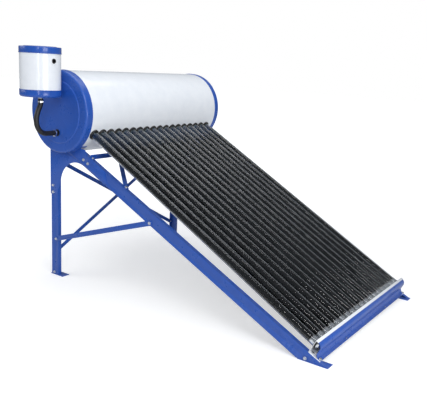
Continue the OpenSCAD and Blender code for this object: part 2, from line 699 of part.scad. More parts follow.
// Hanger plate on the end cap, with two tongues that carry the base ring
module feeder_bracket() color(navy) difference() {
    union() {
        translate([left_face - cap_rise - bracket_t, tank_y - bracket_w / 2, feeder_z - 10])
            cube([bracket_t, bracket_w, bracket_h]);
        for (y = [8 - bracket_w / 2, bracket_w / 2 - 8 - tongue_w])
            translate([left_face - 60, tank_y + y, feeder_z - tongue_t])
                cube([60 - cap_rise, tongue_w, tongue_t]);
    }
    at_bracket_screws() translate([0, 0, -10]) cylinder(r = screw_r + slack, h = 30);
}
module grommets() color(rubber) {
    at_feeder() translate([0, -feeder_r, overflow_z]) rotate([90, 0, 0])
        tube_ring(13, overflow_bore, 0.6, 3.6);
    at_feeder() translate([0, -feeder_r, overflow_z]) rotate([90, 0, 0])
        tube_ring(overflow_r - slack, overflow_bore, -feeder_wall - 2, 0.7);
    translate([left_face - cap_rise, tank_y, inlet_z]) rotate([0, 90, 0]) {
        tube_ring(hose_d / 2 + 5, pipe_r + slack, -3, -slack);
        tube_ring(hose_d / 2 + 2, pipe_r + slack, -0.2, cap_t + 2);
    }
}
// Tank outlet: flange under the floor, nut inside it, and a tail for the hose
module outlet_union() color(steel) at_feeder() difference() {
    stem_low = feeder_z - 9;
    union() {
        translate([0, 0, stem_low]) cylinder(r = 16, h = 7, $fn = 6);
        translate([0, 0, feeder_z - 2]) cylinder(r = 17, h = 2 - slack);
        translate([0, 0, stem_low]) cylinder(r = outlet_r - slack, h = 9 + base_wall + 8);
        translate([0, 0, feeder_z + base_wall + slack]) cylinder(r = 17, h = 6);
        translate([0, 0, feeder_z - 40]) cylinder(r = pipe_r, h = 32);
    }
    translate([0, 0, feeder_z - 50]) cylinder(r = pipe_r - 2, h = 90);
}

// Hose: rings of points swept along a smooth curve through the route
function route_point(i) = hose_route[max(0, min(len(hose_route) - 1, i))];
function curve_at(p, q, r, s, t) = 0.5 * (2 * q + (r - p) * t
    + (2 * p - 5 * q + 4 * r - s) * t * t + (3 * q - p - 3 * r + s) * t * t * t);
function curve_from(i, t) =
    curve_at(route_point(i - 1), route_point(i), route_point(i + 1), route_point(i + 2), t);
hose_path = [
    for (i = [0 : len(hose_route) - 2], k = [0 : hose_steps - 1]) curve_from(i, k / hose_steps),
    route_point(len(hose_route) - 1)
];
function unit(v) = v / norm(v);
function path_dir(i) = unit(hose_path[min(len(hose_path) - 1, i + 1)] - hose_path[max(0, i - 1)]);
module feeder_hose() color(rubber) {
    rings = len(hose_path);
    points = [for (i = [0 : rings - 1], k = [0 : hose_sides - 1])
        let (d = path_dir(i), a = 360 * k / hose_sides, r = hose_d / 2,
             side = r * cos(a), out = r * sin(a))
        [left_face + hose_path[i][0] - d[1] * side, tank_y + out,
         axis_h + hose_path[i][1] + d[0] * side]];
    walls = [for (i = [0 : rings - 2], k = [0 : hose_sides - 1])
        [i * hose_sides + k, (i + 1) * hose_sides + k,
         (i + 1) * hose_sides + (k + 1) % hose_sides, i * hose_sides + (k + 1) % hose_sides]];
    ends = [[for (k = [0 : hose_sides - 1]) k],
            [for (k = [hose_sides - 1 : -1 : 0]) (rings - 1) * hose_sides + k]];
    polyhedron(points, concat(walls, ends));
}
// Worm-drive clamps over the hose's ends
module hose_clamp() {
    band_w = 8;
    tube_ring(hose_d / 2 + 1.6, hose_d / 2 + 0.6, 0, band_w);
    translate([hose_d / 2 + 1.1, -5, -0.5]) cube([6, 10, band_w + 1]);
}
module hose_clamps() color(steel) {
    translate([left_face - 28, tank_y, inlet_z]) rotate([0, 90, 0]) hose_clamp();
    translate([feeder_x, tank_y, feeder_z - 31]) rotate([0, 0, -120]) hose_clamp();
}
// Threaded nipple from the inner tank to the hose
module inlet_pipe() color(steel) translate([left_face - 36, tank_y, inlet_z]) rotate([0, 90, 0])
    tube_ring(pipe_r, pipe_r - 2, 0, 36 + inner_end + 30);
// Hot outlet above, drain below, both out of the right cap, each with a hex
// shoulder that its fitting stops against
hex_start = cap_rise + 1;
hex_len = 6;
module outlet_pipes() color(steel) for (z = [hot_z, drain_z])
    translate([-left_face, tank_y, z]) rotate([0, 90, 0]) difference() {
        union() {
            translate([0, 0, -inner_end - 30]) cylinder(r = hot_r, h = inner_end + 30 + outlet_reach);
            translate([0, 0, hex_start]) cylinder(r = hot_r + 5, h = hex_len, $fn = 6);
        }
        translate([0, 0, -inner_end - 31]) cylinder(r = hot_r - 2.6, h = inner_end + outlet_reach + 32);
    }
module drain_plug() color("gold") translate([-left_face + outlet_reach, tank_y, drain_z]) rotate([0, 90, 0]) {
    translate([0, 0, -14]) cylinder(r = hot_r - 2.6 - slack, h = 14);
    cylinder(r = hot_r + 1, h = 3);
    translate([0, 0, 3]) cylinder(r = 9, h = 7, $fn = 4);
}

// ---------- float valve ----------

// Brass body clamped in the supply tank's wall, with ears for the arm's pin
module valve_body() color("gold") at_feeder() difference() {
    wall_y = feeder_r - feeder_wall;             // inner face of the supply tank's wall
    block_y = pin_y + 12;
    bore_len = cam_gap + plunger_len + plunger_travel;
    ear_t = 3;
    union() {
        translate([0, block_y, valve_z]) rotate([-90, 0, 0]) cylinder(r = 11, h = wall_y - 1 - block_y);
        translate([0, wall_y - 2, valve_z]) rotate([-90, 0, 0]) cylinder(r = stem_r, h = 44);
        translate([0, feeder_r + 1, valve_z]) rotate([-90, 0, 0]) cylinder(r = 16, h = 7, $fn = 6);
        for (x = [-5 - ear_t, 5]) translate([x, pin_y - 5, pin_z - 5]) cube([ear_t, 20, cam_h + 5]);
    }
    translate([0, pin_y - 20, valve_z]) rotate([-90, 0, 0])
        cylinder(r = plunger_d / 2 + run, h = 21 + bore_len);
    translate([0, pin_y, valve_z]) rotate([-90, 0, 0]) cylinder(r = seat_r, h = 90);
    translate([-10, pin_y, pin_z]) rotate([0, 90, 0]) cylinder(r = pin_r + run, h = 20);
}
module valve_plunger() color(white) at_feeder() translate([0, pin_y + cam_gap, valve_z]) rotate([-90, 0, 0])
    union() {
        cylinder(r = plunger_d / 2, h = plunger_len - 3);
        translate([0, 0, plunger_len - 3]) cylinder(r = plunger_d / 2 - 1, h = 3);
    }
module valve_pin() color(steel) at_feeder() {
    translate([-9, pin_y, pin_z]) rotate([0, 90, 0]) cylinder(r = pin_r, h = 18);
    translate([-10.5, pin_y, pin_z]) rotate([0, 90, 0]) cylinder(r = pin_r + 1.2, h = 1.5);
}
boss_r = 3.8;                                    // eye of the arm round the pin
rod_r = 3;
module at_arm() at_feeder() translate([0, pin_y, pin_z]) rotate([arm_droop, 0, 0]) children();
module float_arm() color("gold") at_arm() difference() {
    union() {
        rotate([0, 90, 0]) translate([0, 0, -4]) cylinder(r = boss_r, h = 8);
        rotate([-arm_droop, 0, 0]) {
            translate([-3.5, -nose_r, 0]) cube([7, 2 * nose_r, cam_h]);
            translate([-3.5, 0, cam_h]) rotate([0, 90, 0]) cylinder(r = nose_r, h = 7);
        }
        rotate([90, 0, 0]) cylinder(r = rod_r, h = arm_len - float_d / 2 + 2);
    }
    rotate([0, 90, 0]) translate([0, 0, -10]) cylinder(r = pin_r + run, h = 20);
}
module float_ball() color("orange") at_arm() difference() {
    translate([0, -arm_len, 0]) sphere(r = float_d / 2);
    rotate([90, 0, 0]) cylinder(r = rod_r + slack, h = arm_len - float_d / 2 + 3);
}

for (i = [0 : tube_count - 1])
    outer_tube(tube_x[i]);
casing();
left_cap();
right_cap();
insulation();
inner_tank();
inner_seals();
dust_seals();
absorber_tubes();
spacer_clips();
tail_cups();
tail_tray();
tail_cover();
left_cradle();
right_cradle();
rear_legs();
left_rail();
right_rail();
feet();
side_braces();
cross_braces();
crossbar();
knee_braces();
frame_bolts();
frame_nuts();
sheet_screws();
feeder_body();
feeder_floor();
feeder_lid();
feeder_base();
feeder_bracket();
grommets();
outlet_union();
feeder_hose();
hose_clamps();
inlet_pipe();
outlet_pipes();
drain_plug();
valve_body();
valve_plunger();
valve_pin();
float_arm();
float_ball();
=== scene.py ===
import json
import math

import bpy
from mathutils import Matrix, Vector


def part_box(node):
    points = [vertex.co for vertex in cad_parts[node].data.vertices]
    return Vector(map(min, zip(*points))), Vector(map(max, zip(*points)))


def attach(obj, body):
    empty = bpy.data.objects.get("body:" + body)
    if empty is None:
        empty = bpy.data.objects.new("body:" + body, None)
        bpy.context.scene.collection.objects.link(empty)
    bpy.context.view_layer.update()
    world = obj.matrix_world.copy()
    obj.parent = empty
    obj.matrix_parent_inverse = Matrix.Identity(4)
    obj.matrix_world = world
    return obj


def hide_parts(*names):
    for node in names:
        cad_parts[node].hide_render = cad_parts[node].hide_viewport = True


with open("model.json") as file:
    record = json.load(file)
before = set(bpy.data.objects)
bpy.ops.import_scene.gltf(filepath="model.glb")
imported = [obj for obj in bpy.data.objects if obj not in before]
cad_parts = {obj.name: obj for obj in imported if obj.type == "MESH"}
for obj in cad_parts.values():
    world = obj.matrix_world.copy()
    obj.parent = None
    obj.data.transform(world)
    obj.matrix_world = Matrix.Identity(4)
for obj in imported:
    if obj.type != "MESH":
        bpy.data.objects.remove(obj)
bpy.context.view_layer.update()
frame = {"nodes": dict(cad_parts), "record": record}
nodes = frame["nodes"]

# ---------------------------------------------------------------- places

casing_low, casing_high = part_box("casing")
tank_axis = (casing_low + casing_high) / 2
casing_r = (casing_high.z - casing_low.z) / 2
tube_names = sorted(name for name in nodes if name.startswith("tube_"))

# A tube's tip is its lowest point, a known round, so its slope follows from its box
tube_low, tube_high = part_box(tube_names[0])
tube_r = (tube_high.x - tube_low.x) / 2
tip_z = tube_low.z + tube_r
tip_y = tube_low.y + tube_r
tube_dir = Vector((0, tip_y - tank_axis.y, tip_z - tank_axis.z)).normalized()
tube_reach = (Vector((0, tip_y, tip_z)) - Vector((0, tank_axis.y, tank_axis.z))).length
tube_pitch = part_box(tube_names[1])[0].x - tube_low.x
GETTER_LEN = 0.062

# ---------------------------------------------------------------- node groups


def new_group(name, inputs, outputs):
    """An empty shader group: inputs are name -> default, outputs are name -> socket type"""
    tree = bpy.data.node_groups.new(name, "ShaderNodeTree")
    for label, value in inputs.items():
        socket = tree.interface.new_socket(label, in_out="INPUT", socket_type="NodeSocketFloat")
        socket.default_value = value
    for label, kind in outputs.items():
        tree.interface.new_socket(label, in_out="OUTPUT", socket_type=kind)
    return tree, tree.nodes.new("NodeGroupInput"), tree.nodes.new("NodeGroupOutput")


def add(tree, kind, values=None, **links):
    """A node of that kind: values sets sockets and attributes, links are by socket name or _number"""
    node = tree.nodes.new(kind)
    for key, value in (values or {}).items():
        if isinstance(key, int) or key in node.inputs:
            node.inputs[key].default_value = value
        else:
            setattr(node, key, value)
    for key, source in links.items():
        by_number = key[0] == "_" and key[1:].isdigit()
        tree.links.new(source, node.inputs[int(key[1:]) if by_number else key.replace("_", " ")])
    return node


def math_node(tree, operation, a, b=None, c=None, clamp=False):
    node = tree.nodes.new("ShaderNodeMath")
    node.operation = operation
    node.use_clamp = clamp
    for i, value in enumerate((a, b, c)):
        if value is None:
            continue
        if isinstance(value, (int, float)):
            node.inputs[i].default_value = value
        else:
            tree.links.new(value, node.inputs[i])
    return node.outputs[0]


def noise(tree, coords, scale, detail=3.0, roughness=0.5):
    node = add(tree, "ShaderNodeTexNoise", {"Detail": detail, "Roughness": roughness}, Vector=coords)
    if isinstance(scale, (int, float)):
        node.inputs["Scale"].default_value = scale
    else:
        tree.links.new(scale, node.inputs["Scale"])
    return node.outputs["Fac"]


def stretched(tree, scale):
    """Object coordinates scaled by axis, so a pattern on them runs in streaks"""
    place = tree.nodes.new("ShaderNodeTexCoord").outputs["Object"]
    return add(tree, "ShaderNodeMapping", {"Scale": scale}, Vector=place).outputs["Vector"]


def limits(tree, value, low, high, to_low=0.0, to_high=1.0):
    node = add(tree, "ShaderNodeMapRange", {"clamp": True}, Value=value)
    for key, number in (("From Min", low), ("From Max", high), ("To Min", to_low), ("To Max", to_high)):
        node.inputs[key].default_value = number
    return node.outputs["Result"]


def make_coat_group():
    """Sprayed or powder coat: fine orange peel over slow waves of the sheet below"""
    tree, inp, out = new_group(
        "sprayed_coat",
        {"Peel Scale": 650.0, "Peel Depth": 0.12, "Wave Scale": 5.0, "Wave Depth": 0.1},
        {"Normal": "NodeSocketVector", "Gloss Variation": "NodeSocketFloat"},
    )
    place = tree.nodes.new("ShaderNodeTexCoord").outputs["Object"]
    peel = noise(tree, place, inp.outputs["Peel Scale"], 2.0)
    wave = noise(tree, place, inp.outputs["Wave Scale"], 1.0, 0.3)
    slow = add(tree, "ShaderNodeBump", {"Distance": 0.02}, Height=wave, Strength=inp.outputs["Wave Depth"])
    fine = add(tree, "ShaderNodeBump", {"Distance": 0.0004}, Height=peel,
               Strength=inp.outputs["Peel Depth"], Normal=slow.outputs[0])
    tree.links.new(fine.outputs[0], out.inputs["Normal"])
    patches = noise(tree, place, 14.0, 5.0, 0.65)
    tree.links.new(limits(tree, patches, 0.35, 0.7), out.inputs["Gloss Variation"])
    return tree


def make_dust_group():
    """Dust that settles on faces that look up, more in blown patches, and splashes near the ground"""
    tree, inp, out = new_group(
        "settled_dust",
        {"Amount": 0.5, "Splash Height": 0.25},
        {"Mask": "NodeSocketFloat"},
    )
    geometry = tree.nodes.new("ShaderNodeNewGeometry")
    up = add(tree, "ShaderNodeSeparateXYZ", Vector=geometry.outputs["Normal"]).outputs["Z"]
    place = tree.nodes.new("ShaderNodeTexCoord").outputs["Object"]
    height = add(tree, "ShaderNodeSeparateXYZ", Vector=place).outputs["Z"]
    flat = limits(tree, up, 0.35, 0.98)
    patches = limits(tree, noise(tree, place, 23.0, 7.0, 0.7), 0.38, 0.68)
    grains = limits(tree, noise(tree, place, 900.0, 2.0), 0.45, 0.7)
    raised = math_node(tree, "DIVIDE", height, inp.outputs["Splash Height"])
    near_ground = math_node(tree, "SUBTRACT", 1.0, raised, clamp=True)
    drops = limits(tree, noise(tree, place, 60.0, 5.0, 0.7), 0.45, 0.7)
    splash = math_node(tree, "MULTIPLY", near_ground, drops)
    settled = math_node(tree, "MULTIPLY", flat, patches)
    film = math_node(tree, "MULTIPLY", settled, math_node(tree, "ADD", 0.55, grains))
    total = math_node(tree, "ADD", film, math_node(tree, "MULTIPLY", splash, 0.6))
    mask = math_node(tree, "MULTIPLY", total, inp.outputs["Amount"], clamp=True)
    tree.links.new(mask, out.inputs["Mask"])
    return tree


def make_marks_group():
    """Hairline handling scratches in two directions"""
    tree, inp, out = new_group("handling_marks", {"Amount": 0.5}, {"Mask": "NodeSocketFloat"})
    masks = []
    for scale in ((6.0, 240.0, 30.0), (210.0, 9.0, 40.0)):
        lines = noise(tree, stretched(tree, scale), 1.0, 3.0, 0.4)
        off_line = math_node(tree, "ABSOLUTE", math_node(tree, "SUBTRACT", lines, 0.5))
        masks.append(limits(tree, off_line, 0.0, 0.007, 1.0, 0.0))
    place = tree.nodes.new("ShaderNodeTexCoord").outputs["Object"]
    where = limits(tree, noise(tree, place, 7.0, 3.0), 0.5, 0.66)
    both = math_node(tree, "MAXIMUM", masks[0], masks[1])
    shown = math_node(tree, "MULTIPLY", both, where)
    mask = math_node(tree, "MULTIPLY", shown, inp.outputs["Amount"], clamp=True)
    tree.links.new(mask, out.inputs["Mask"])
    return tree


def make_grain_group():
    """Drawn or brushed metal: long fine lines along X with a slow change of shine"""
    tree, inp, out = new_group(
        "drawn_grain",
        {"Depth": 0.2},
        {"Normal": "NodeSocketVector", "Lines": "NodeSocketFloat"},
    )
    lines = noise(tree, stretched(tree, (12.0, 900.0, 900.0)), 1.0, 3.0)
    bump = add(tree, "ShaderNodeBump", {"Distance": 0.0003}, Height=lines, Strength=inp.outputs["Depth"])
    tree.links.new(bump.outputs[0], out.inputs["Normal"])
    tree.links.new(lines, out.inputs["Lines"])
    return tree


def make_tube_zone_group():
    """Distance down the vacuum tubes from the tank axis, in metres"""
    tree, _, out = new_group("tube_distance", {}, {"Distance": "NodeSocketFloat"})
    place = tree.nodes.new("ShaderNodeTexCoord").outputs["Object"]
    moved = add(tree, "ShaderNodeVectorMath", {"operation": "SUBTRACT", 1: tuple(tank_axis)}, _0=place)
    along = add(tree, "ShaderNodeVectorMath", {"operation": "DOT_PRODUCT", 1: tuple(tube_dir)},
                _0=moved.outputs[0])
    tree.links.new(along.outputs["Value"], out.inputs["Distance"])
    return tree


coat_group = make_coat_group()
dust_group = make_dust_group()
marks_group = make_marks_group()
grain_group = make_grain_group()
tube_zone_group = make_tube_zone_group()

# ---------------------------------------------------------------- materials


def new_material(name, base, roughness, **constants):
    material = bpy.data.materials.new(name)
    material.use_nodes = True
    tree = material.node_tree
    shader = tree.nodes["Principled BSDF"]
    shader.inputs["Base Color"].default_value = (*base, 1)
    shader.inputs["Roughness"].default_value = roughness
    for key, value in constants.items():
        shader.inputs[key.replace("_", " ")].default_value = value
    return material, tree, shader


def place_group(tree, group, **values):
    node = tree.nodes.new("ShaderNodeGroup")
    node.node_tree = group
    for key, value in values.items():
        node.inputs[key.replace("_", " ")].default_value = value
    return node


def mix_colour(tree, fac, a, b):
    node = tree.nodes.new("ShaderNodeMix")
    node.data_type = "RGBA"
    if isinstance(fac, (int, float)):
        node.inputs["Factor"].default_value = fac
    else:
        tree.links.new(fac, node.inputs["Factor"])
    for socket, value in ((node.inputs["A"], a), (node.inputs["B"], b)):
        if isinstance(value, tuple):
            socket.default_value = (*value, 1)
        else:
            tree.links.new(value, socket)
    return node.outputs["Result"]


DUST = (0.62, 0.58, 0.5)


def coated(name, base, shade, roughness, peel=650.0, peel_depth=0.12, wave=0.1, dust=0.12, marks=0.35,
           **constants):
    """Painted, powder-coated or moulded surface in one colour, with its own faults"""
    material, tree, shader = new_material(name, base, roughness, **constants)
    coat = place_group(tree, coat_group, Peel_Scale=peel, Peel_Depth=peel_depth, Wave_Depth=wave)
    dusty = place_group(tree, dust_group, Amount=dust).outputs["Mask"]
    scratched = place_group(tree, marks_group, Amount=marks).outputs["Mask"]
    varied = mix_colour(tree, coat.outputs["Gloss Variation"], base, shade)
    light = tuple(min(1.0, c * 1.5 + 0.04) for c in base)
    worn = mix_colour(tree, math_node(tree, "MULTIPLY", scratched, 0.5), varied, light)
    tree.links.new(mix_colour(tree, dusty, worn, DUST), shader.inputs["Base Color"])
    rough = math_node(tree, "MULTIPLY_ADD", coat.outputs["Gloss Variation"], 0.08, roughness - 0.04)
    rough = math_node(tree, "MULTIPLY_ADD", scratched, 0.2, rough)
    rough = math_node(tree, "MULTIPLY_ADD", dusty, 0.45, rough, clamp=True)
    tree.links.new(rough, shader.inputs["Roughness"])
    tree.links.new(coat.outputs["Normal"], shader.inputs["Normal"])
    return material


def metal(name, base, shade, roughness, grain=0.2, stain=0.5):
    """Bare or plated metal with drawn lines and slow staining"""
    material, tree, shader = new_material(name, base, roughness, Metallic=1.0)
    lines = place_group(tree, grain_group, Depth=grain)
    place = tree.nodes.new("ShaderNodeTexCoord").outputs["Object"]
    stained = math_node(tree, "MULTIPLY", limits(tree, noise(tree, place, 45.0, 6.0, 0.65), 0.42, 0.7), stain)
    tree.links.new(mix_colour(tree, stained, base, shade), shader.inputs["Base Color"])
    rough = math_node(tree, "MULTIPLY_ADD", lines.outputs["Lines"], 0.16, roughness - 0.08)
    rough = math_node(tree, "MULTIPLY_ADD", stained, 0.22, rough, clamp=True)
    tree.links.new(rough, shader.inputs["Roughness"])
    tree.links.new(lines.outputs["Normal"], shader.inputs["Normal"])
    return material


def moulded_rubber(name, base, roughness, fine=1400.0):
    material, tree, shader = new_material(name, base, roughness)
    place = tree.nodes.new("ShaderNodeTexCoord").outputs["Object"]
    pores = noise(tree, place, fine, 3.0)
    bloom = math_node(tree, "MULTIPLY", limits(tree, noise(tree, place, 55.0, 6.0, 0.7), 0.45, 0.72), 0.5)
    dusty = place_group(tree, dust_group, Amount=0.06).outputs["Mask"]
    pale = tuple(c * 1.5 + 0.008 for c in base)
    aged = mix_colour(tree, bloom, base, pale)
    tree.links.new(mix_colour(tree, dusty, aged, DUST), shader.inputs["Base Color"])
    rough = math_node(tree, "MULTIPLY_ADD", bloom, 0.3, roughness)
    tree.links.new(math_node(tree, "MULTIPLY_ADD", dusty, 0.3, rough, clamp=True), shader.inputs["Roughness"])
    bump = add(tree, "ShaderNodeBump", {"Distance": 0.0003, "Strength": 0.35}, Height=pores)
    tree.links.new(bump.outputs[0], shader.inputs["Normal"])
    return material


def tube_glass(name):
    """Clear borosilicate with slow draw waves and faint run marks along the tube"""
    material, tree, shader = new_material(name, (0.95, 0.975, 0.985), 0.02, Transmission_Weight=1.0,
                                          IOR=1.4)
    waves = noise(tree, stretched(tree, (26.0, 2.0, 3.0)), 1.0, 2.0)
    runs = limits(tree, noise(tree, stretched(tree, (300.0, 0.8, 1.4)), 1.0, 0.0), 0.45, 0.7)
    tree.links.new(math_node(tree, "MULTIPLY_ADD", runs, 0.012, 0.012), shader.inputs["Roughness"])
    bump = add(tree, "ShaderNodeBump", {"Distance": 0.001, "Strength": 0.015}, Height=waves)
    tree.links.new(bump.outputs[0], shader.inputs["Normal"])
    return material


def absorber_coating(name):
    """Sputtered black coating, with a bare glass band at the open end and a blue fade below it that is a
    painted reflection of the white casing
    """
    black = (0.0025, 0.0027, 0.0035)
    # painted reflection: the pale blue that the white casing casts in the glossy tubes near their top
    reflected_casing_blue = (0.03, 0.055, 0.11)
    bare_glass = (0.12, 0.17, 0.21)
    material, tree, shader = new_material(name, black, 0.3, Specular_IOR_Level=0.12)
    along = place_group(tree, tube_zone_group).outputs["Distance"]
    place = tree.nodes.new("ShaderNodeTexCoord").outputs["Object"]
    uneven = math_node(tree, "MULTIPLY_ADD", noise(tree, place, 35.0, 3.0), 0.02, along)
    # painted reflection of the casing: paler blue just below the casing, fading to black further down the
    # tube
    casing_reflection_mask = limits(tree, uneven, casing_r + 0.03, casing_r + 0.19, 1.0, 0.0)
    bare = limits(tree, uneven, casing_r + 0.018, casing_r + 0.03, 1.0, 0.0)
    clouds = limits(tree, noise(tree, stretched(tree, (30.0, 1.5, 2.0)), 1.0, 4.0), 0.4, 0.7, 0.0, 0.25)
    coat = mix_colour(tree, clouds, black, (0.008, 0.009, 0.013))
    reflected_over_coat = mix_colour(tree, casing_reflection_mask, coat, reflected_casing_blue)
    tree.links.new(mix_colour(tree, bare, reflected_over_coat, bare_glass), shader.inputs["Base Color"])
    tree.links.new(math_node(tree, "MULTIPLY_ADD", clouds, 0.3, 0.26), shader.inputs["Roughness"])
    return material


def getter_mirror(name):
    """Barium film flashed on the inside of the glass: a mirror that thins to a brown edge"""
    material, tree, shader = new_material(name, (0.9, 0.9, 0.9), 0.08, Metallic=1.0)
    along = place_group(tree, tube_zone_group).outputs["Distance"]
    place = tree.nodes.new("ShaderNodeTexCoord").outputs["Object"]
    uneven = math_node(tree, "MULTIPLY_ADD", noise(tree, place, 60.0, 4.0), 0.012, along)
    film_start = tube_reach - GETTER_LEN + tube_r
    edge = limits(tree, uneven, film_start, film_start + 0.014, 1.0, 0.0)
    tree.links.new(mix_colour(tree, edge, (0.86, 0.87, 0.88), (0.2, 0.15, 0.11)), shader.inputs["Base Color"])
    ripple = noise(tree, place, 90.0, 3.0)
    tree.links.new(math_node(tree, "MULTIPLY_ADD", edge, 0.3, 0.07), shader.inputs["Roughness"])
    bump = add(tree, "ShaderNodeBump", {"Distance": 0.001, "Strength": 0.12}, Height=ripple)
    tree.links.new(bump.outputs[0], shader.inputs["Normal"])
    return material


def foam(name):
    material, tree, shader = new_material(name, (0.75, 0.62, 0.33), 0.9)
    place = tree.nodes.new("ShaderNodeTexCoord").outputs["Object"]
    cells = tree.nodes.new("ShaderNodeTexVoronoi")
    cells.inputs["Scale"].default_value = 500.0
    tree.links.new(place, cells.inputs["Vector"])
    skin = limits(tree, noise(tree, place, 30.0, 5.0), 0.4, 0.7)
    tree.links.new(mix_colour(tree, skin, (0.75, 0.62, 0.33), (0.6, 0.45, 0.2)), shader.inputs["Base Color"])
    bump = add(tree, "ShaderNodeBump", {"Distance": 0.001, "Strength": 0.6}, Height=cells.outputs["Distance"])
    tree.links.new(bump.outputs[0], shader.inputs["Normal"])
    return material


BLUE = (0.018, 0.09, 0.43)
BLUE_SHADE = (0.016, 0.08, 0.39)
WHITE = (0.84, 0.87, 0.91)
WHITE_SHADE = (0.79, 0.825, 0.875)

MATERIALS = {
    "blue_coat": coated("blue_powder_coat", BLUE, BLUE_SHADE, 0.3, wave=0.12),
    "blue_plastic": coated("blue_moulding", BLUE, BLUE_SHADE, 0.22,
                           peel=900.0, peel_depth=0.05, wave=0.05),
    "white_coat": coated("white_sheet", WHITE, WHITE_SHADE, 0.2,
                         peel=500.0, peel_depth=0.06, wave=0.07, dust=0.1),
    "white_plastic": coated("white_moulding", WHITE, WHITE_SHADE, 0.18,
                            peel=900.0, peel_depth=0.04, wave=0.05, dust=0.1),
    "tube_glass": tube_glass("borosilicate_glass"),
    "absorber_coating": absorber_coating("selective_coating"),
    "spring_steel": metal("spring_steel", (0.75, 0.75, 0.76), (0.55, 0.54, 0.52), 0.22),
    "stainless": metal("stainless_steel", (0.72, 0.73, 0.74), (0.55, 0.55, 0.54), 0.28),
    "zinc": metal("bright_zinc", (0.78, 0.8, 0.83), (0.5, 0.52, 0.53), 0.24, stain=0.7),
    "foam": foam("rigid_foam"),
    "silicone": moulded_rubber("red_silicone", (0.55, 0.12, 0.05), 0.45),
    "black_rubber": moulded_rubber("black_rubber", (0.008, 0.008, 0.009), 0.42),
    "brass": metal("machined_brass", (0.78, 0.57, 0.24), (0.5, 0.33, 0.14), 0.25),
    "valve_plastic": coated("natural_acetal", (0.8, 0.8, 0.76), (0.72, 0.72, 0.68), 0.4,
                            dust=0.1, marks=0.2),
    "float_plastic": coated("orange_float", (0.72, 0.2, 0.03), (0.6, 0.15, 0.02), 0.35,
                            dust=0.1, marks=0.2),
}

slot_of = {part["node"]: part["material_slot"] for part in frame["record"]["subparts"]}
for node_name, slot_name in slot_of.items():
    mesh = nodes[node_name].data
    for index in range(len(mesh.materials)):
        mesh.materials[index] = MATERIALS[slot_name]
    if not mesh.materials:
        mesh.materials.append(MATERIALS[slot_name])

# ---------------------------------------------------------------- pieces

MERGE_WITHIN = 0.00002
SAME_PLANE = math.radians(0.4)
ROUND_OVER = math.radians(32)
SMOOTH_UNDER = math.radians(30)

FOLD_EDGE = 0.0007
SHEETS = ["rear_legs", "left_rail", "right_rail", "left_cradle", "right_cradle", "feet", "side_braces",
          "cross_braces", "crossbar", "knee_braces", "feeder_bracket", "tail_tray", "tail_cover"]
TURNED_EDGES = {"frame_bolts": 0.0004, "frame_nuts": 0.0004, "sheet_screws": 0.0003,
                "outlet_union": 0.0005, "drain_plug": 0.0005, "dust_seals": 0.0008}
MOULDED_EDGE = 0.0008


def select_only(piece):
    bpy.ops.object.select_all(action="DESELECT")
    piece.select_set(True)
    bpy.context.view_layer.objects.active = piece


def apply_modifier(piece, kind, **settings):
    modifier = piece.modifiers.new(kind.lower(), kind)
    for key, value in settings.items():
        setattr(modifier, key, value)
    bpy.ops.object.modifier_apply(modifier=modifier.name)


def belongs(piece, name, material, body="heater"):
    """Names the finished piece, gives it its one material and lets it move with its body"""
    piece.name = name
    piece.data.name = name
    piece.data.materials.clear()
    piece.data.materials.append(material)
    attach(piece, body)


def merged_copy(node, name):
    """A copy of a CAD node with its loose triangles merged, left selected in edit mode"""
    source = nodes[node]
    piece = bpy.data.objects.new(name, source.data.copy())
    piece.matrix_world = source.matrix_world.copy()
    bpy.context.scene.collection.objects.link(piece)
    select_only(piece)
    bpy.ops.object.transform_apply(location=True, rotation=True, scale=True)
    bpy.ops.object.mode_set(mode="EDIT")
    bpy.ops.mesh.select_all(action="SELECT")
    bpy.ops.mesh.remove_doubles(threshold=MERGE_WITHIN)
    return piece


def folded_copy(node, width, body="heater"):
    """A CAD node with its edges rounded, in place of the node"""
    piece = merged_copy(node, node + "_rounded")
    bpy.ops.mesh.dissolve_limited(angle_limit=SAME_PLANE)
    bpy.ops.mesh.normals_make_consistent(inside=False)
    bpy.ops.object.mode_set(mode="OBJECT")
    apply_modifier(piece, "BEVEL", width=width, segments=2, limit_method="ANGLE",
                   angle_limit=ROUND_OVER, use_clamp_overlap=True, harden_normals=False)
    bpy.ops.object.shade_smooth_by_angle(angle=SMOOTH_UNDER)
    slot = slot_of[node]
    belongs(piece, node + "_rounded", MATERIALS[slot], body)
    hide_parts(node)


for sheet_node in SHEETS:
    folded_copy(sheet_node, FOLD_EDGE)
for turned_node, turned_edge in TURNED_EDGES.items():
    folded_copy(turned_node, turned_edge)
folded_copy("feeder_lid", MOULDED_EDGE, body="supply_lid")
folded_copy("feeder_base", MOULDED_EDGE)


def smooth_hose():
    """The supply hose with its facets smoothed away, at its full thickness"""
    lost_in_smoothing = 0.0004
    widest_join = math.radians(60)
    piece = merged_copy("feeder_hose", "smooth_hose")
    bpy.ops.mesh.tris_convert_to_quads(face_threshold=widest_join, shape_threshold=widest_join)
    bpy.ops.mesh.normals_make_consistent(inside=False)
    bpy.ops.object.mode_set(mode="OBJECT")
    apply_modifier(piece, "SUBSURF", levels=2)
    bpy.ops.object.mode_set(mode="EDIT")
    bpy.ops.mesh.select_all(action="SELECT")
    bpy.ops.transform.shrink_fatten(value=lost_in_smoothing)
    bpy.ops.object.mode_set(mode="OBJECT")
    bpy.ops.object.shade_smooth()
    belongs(piece, "smooth_hose", MATERIALS["black_rubber"])
    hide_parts("feeder_hose")


smooth_hose()


def ring_bead(name, centre, axis_turn, radius, thickness, slot, body="heater"):
    """A rolled bead or hem that runs round a drum"""
    bpy.ops.object.select_all(action="DESELECT")
    bpy.ops.mesh.primitive_torus_add(location=centre, rotation=axis_turn, major_radius=radius,
                                     minor_radius=thickness, major_segments=128, minor_segments=10)
    piece = bpy.context.object
    bpy.ops.object.transform_apply(location=True, rotation=True, scale=True)
    bpy.ops.object.shade_smooth()
    belongs(piece, name, MATERIALS[slot], body)


